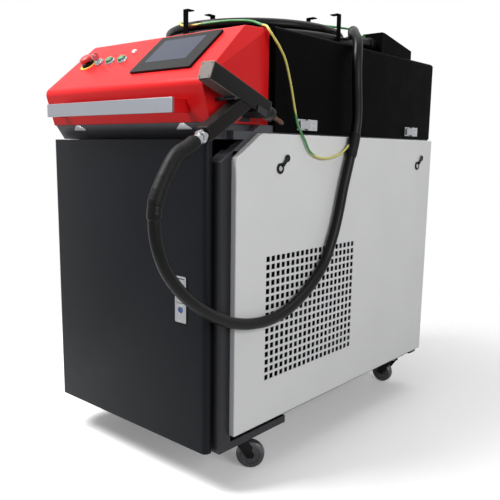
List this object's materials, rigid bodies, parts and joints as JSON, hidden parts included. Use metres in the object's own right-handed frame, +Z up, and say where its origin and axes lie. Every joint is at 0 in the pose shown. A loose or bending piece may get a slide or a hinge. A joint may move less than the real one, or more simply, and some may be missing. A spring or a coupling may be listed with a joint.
{
  "type": "laser welding machine",
  "caption": "Wheeled laser welding machine: cabinet with door and perforated sides, sloped console, hood with coiled hose, and a hand-held gun in a side holder.",
  "frame": {"origin": "on the floor, under the middle of the box of everything but the hose and the earth wire", "axes": "+Z up, -Y towards the operator's side with the door and console, +X to the operator's right"},
  "size_m": [0.7055, 1.2354, 1.19],
  "materials": {
    "black_frame": "fine-textured powder coat",
    "tray": "fine-textured powder coat",
    "grey_panel": "satin powder coat",
    "door_coat": "fine-textured powder coat",
    "red_coat": "satin powder coat",
    "bar_silver": "satin anodised",
    "bright_steel": "polished",
    "zinc": "zinc plated",
    "black_plastic": "moulded",
    "estop_red": "moulded",
    "estop_yellow": "moulded",
    "button_green": "moulded",
    "latch_blue": "moulded",
    "screen": "smooth",
    "lamp": "moulded",
    "hose_rubber": "smooth",
    "wire_green": "smooth",
    "gun_body": "anodised",
    "gun_grip": "moulded",
    "trigger_red": "moulded",
    "copper": "machined",
    "tyre_rubber": "moulded",
    "laser_case": "brushed",
    "tank_plastic": "moulded",
    "fan_black": "moulded",
    "shroud": "painted"
  },
  "bodies": {
    "cabinet": {"base_tray": "tray", "corner_posts": "black_frame", "top_deck": "black_frame", "rear_panel": "black_frame", "right_side_panel": "grey_panel", "left_side_panel": "grey_panel", "door_hinges": "zinc", "console_shell": "red_coat", "console_feet": "zinc", "handle_bar": "bar_silver", "handle_brackets": "red_coat", "screen_bezel": "black_plastic", "screen_glass": "screen", "estop_base": "estop_yellow", "key_switch": "bright_steel", "button_bezels": "zinc", "indicator_lamp": "lamp", "hood_shell": "black_frame", "hood_latch_bases": "zinc", "hose_hooks": "black_frame", "outlet_box": "black_frame", "hose_gland": "black_plastic", "hose_coil": "hose_rubber", "hose_drop": "hose_rubber", "ground_wire": "wire_green", "gun_barrel": "gun_body", "gun_handle": "gun_grip", "gun_nozzle_holder": "gun_body", "gun_nozzle": "copper", "gun_gland": "bright_steel", "gun_holder": "black_frame", "caster_plates": "zinc", "lock_bodies": "black_plastic", "equipment_shelf": "tray", "laser_source": "laser_case", "chiller_tank": "tank_plastic", "fan_shroud": "shroud"},
    "door": {"front_door": "door_coat", "door_knuckles": "zinc", "door_latch_plate": "bright_steel"},
    "latch_lever": {"door_latch_lever": "bright_steel"},
    "latch_button": {"door_latch_button": "latch_blue"},
    "estop": {"estop_head": "estop_red"},
    "key": {"key": "bright_steel"},
    "start": {"start_button": "button_green"},
    "stop": {"stop_button": "button_green"},
    "front_draw_latch": {"hood_latch_lever_front": "bright_steel"},
    "rear_draw_latch": {"hood_latch_lever_rear": "bright_steel"},
    "trigger": {"gun_trigger": "trigger_red"},
    "front_lock_cover": {"lock_cover_front": "black_plastic"},
    "rear_lock_cover": {"lock_cover_rear": "black_plastic"},
    "fan": {"fan_blades": "fan_black"},
    "fork_front_right": {"fork_front_right": "black_plastic"},
    "wheel_front_right": {"wheel_front_right": "tyre_rubber"},
    "fork_front_left": {"fork_front_left": "black_plastic"},
    "wheel_front_left": {"wheel_front_left": "tyre_rubber"},
    "fork_rear_right": {"fork_rear_right": "black_plastic"},
    "wheel_rear_right": {"wheel_rear_right": "tyre_rubber"},
    "fork_rear_left": {"fork_rear_left": "black_plastic"},
    "wheel_rear_left": {"wheel_rear_left": "tyre_rubber"}
  },
  "joints": [
    {"name": "door_swing", "type": "hinge", "parent": "cabinet", "child": "door", "pos_m": [-0.3219, -0.45812, 0.475], "axis": [0, 0, 1], "range_deg": [-110, 0]},
    {"name": "latch_lever_tilt", "type": "hinge", "parent": "door", "child": "latch_lever", "pos_m": [0.2041, -0.47612, 0.5188], "axis": [-1, 0, 0], "range_deg": [0, 50], "stiffness_Nm_per_rad": 0.02, "springref_deg": -34.38},
    {"name": "latch_button_press", "type": "slide", "parent": "door", "child": "latch_button", "axis": [0, 1, 0], "range_m": [0, 0.003], "stiffness_N_per_m": 200, "springref_m": -0.003},
    {"name": "estop_press", "type": "slide", "parent": "cabinet", "child": "estop", "axis": [0, 0.6561, -0.7547], "range_m": [0, 0.004], "stiffness_N_per_m": 400, "springref_m": -0.004},
    {"name": "key_turn", "type": "hinge", "parent": "cabinet", "child": "key", "pos_m": [-0.1909, -0.40507, 1.04741], "axis": [0, -0.6561, 0.7547], "range_deg": [0, 90]},
    {"name": "start_press", "type": "slide", "parent": "cabinet", "child": "start", "axis": [0, 0.6561, -0.7547], "range_m": [0, 0.003], "stiffness_N_per_m": 300, "springref_m": -0.003},
    {"name": "stop_press", "type": "slide", "parent": "cabinet", "child": "stop", "axis": [0, 0.6561, -0.7547], "range_m": [0, 0.003], "stiffness_N_per_m": 300, "springref_m": -0.003},
    {"name": "front_draw_latch_swing", "type": "hinge", "parent": "cabinet", "child": "front_draw_latch", "pos_m": [0.3176, -0.14362, 0.8875], "axis": [0, 0, 1], "range_deg": [0, 110]},
    {"name": "rear_draw_latch_swing", "type": "hinge", "parent": "cabinet", "child": "rear_draw_latch", "pos_m": [0.3176, 0.41938, 0.8875], "axis": [0, 0, 1], "range_deg": [0, 110]},
    {"name": "trigger_squeeze", "type": "slide", "parent": "cabinet", "child": "trigger", "axis": [0, -0.518, 0.8554], "range_m": [0, 0.005], "stiffness_N_per_m": 200, "springref_m": -0.005},
    {"name": "front_lock_cover_swing", "type": "hinge", "parent": "cabinet", "child": "front_lock_cover", "pos_m": [0.3264, -0.25212, 0.789], "axis": [1, 0, 0], "range_deg": [-180, 0]},
    {"name": "rear_lock_cover_swing", "type": "hinge", "parent": "cabinet", "child": "rear_lock_cover", "pos_m": [0.3264, 0.46488, 0.789], "axis": [1, 0, 0], "range_deg": [-180, 0]},
    {"name": "fan_spin", "type": "hinge", "parent": "cabinet", "child": "fan", "pos_m": [0.2681, -0.10912, 0.412], "axis": [1, 0, 0], "continuous": true},
    {"name": "swivel_front_right", "type": "hinge", "parent": "cabinet", "child": "fork_front_right", "pos_m": [0.2371, -0.31012, 0.102], "axis": [0, 0, 1], "continuous": true},
    {"name": "roll_front_right", "type": "hinge", "parent": "fork_front_right", "child": "wheel_front_right", "pos_m": [0.26542, -0.28955, 0.0375], "axis": [-0.5878, 0.809, 0], "continuous": true},
    {"name": "swivel_front_left", "type": "hinge", "parent": "cabinet", "child": "fork_front_left", "pos_m": [-0.2669, -0.31012, 0.102], "axis": [0, 0, 1], "continuous": true},
    {"name": "roll_front_left", "type": "hinge", "parent": "fork_front_left", "child": "wheel_front_left", "pos_m": [-0.2494, -0.27981, 0.0375], "axis": [-0.866, 0.5, 0], "continuous": true},
    {"name": "swivel_rear_right", "type": "hinge", "parent": "cabinet", "child": "fork_rear_right", "pos_m": [0.2371, 0.51188, 0.102], "axis": [0, 0, 1], "continuous": true},
    {"name": "roll_rear_right", "type": "hinge", "parent": "fork_rear_right", "child": "wheel_rear_right", "pos_m": [0.20223, 0.51493, 0.0375], "axis": [-0.0872, -0.9962, 0], "continuous": true},
    {"name": "swivel_rear_left", "type": "hinge", "parent": "cabinet", "child": "fork_rear_left", "pos_m": [-0.2669, 0.51188, 0.102], "axis": [0, 0, 1], "continuous": true},
    {"name": "roll_rear_left", "type": "hinge", "parent": "fork_rear_left", "child": "wheel_rear_left", "pos_m": [-0.28796, 0.48393, 0.0375], "axis": [0.7986, -0.6018, 0], "continuous": true}
  ]
}
